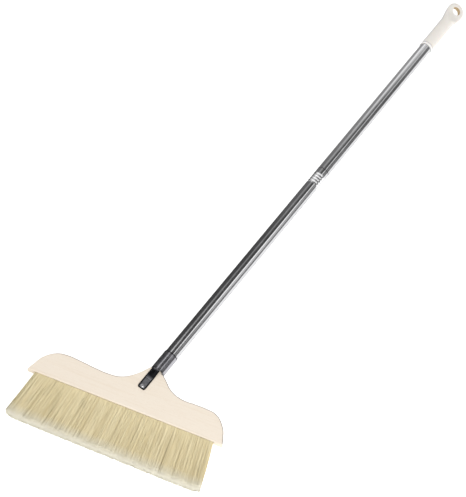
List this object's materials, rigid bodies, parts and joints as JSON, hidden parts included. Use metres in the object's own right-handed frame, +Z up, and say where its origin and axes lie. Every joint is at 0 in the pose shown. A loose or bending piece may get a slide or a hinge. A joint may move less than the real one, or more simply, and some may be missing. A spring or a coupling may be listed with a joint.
{
  "type": "soft bristle indoor broom",
  "caption": "Indoor broom with a pale wooden head leaning on its handle, soft straw-coloured bristles, a black forked socket, a steel tube handle that unscrews and a cream hanging grip.",
  "frame": {"origin": "centre of the hanging hole in the grip's flat end", "axes": "+Z up the handle's axis, towards the grip's end; +X across the handle, towards the raised end of the head; -Y the front, where the clamp screw's head shows"},
  "size_m": [0.3623, 0.0298, 1.3243],
  "materials": {
    "pale_wood": "fine sanded, clear lacquer",
    "straw_bristle": "soft split-tip strands",
    "black_paint": "gloss",
    "polished_steel": "polished",
    "bright_screw": "zinc plated",
    "cream_plastic": "semi-gloss"
  },
  "bodies": {
    "upper_handle": {"upper_tube": "polished_steel", "grip": "cream_plastic"},
    "lower_handle_and_head": {"lower_tube": "polished_steel", "handle_socket": "black_paint", "clamp_screw": "bright_screw", "clamp_nut": "bright_screw", "head_board": "pale_wood", "bristle_row_front": "straw_bristle", "bristle_row_inner_front": "straw_bristle", "bristle_row_inner_back": "straw_bristle", "bristle_row_back": "straw_bristle"}
  },
  "joints": [
    {"name": "handle_unscrew", "type": "hinge", "parent": "upper_handle", "child": "lower_handle_and_head", "pos_m": [0, 0, -0.542], "axis": [0, 0, -1], "range_deg": [0, 900]}
  ]
}
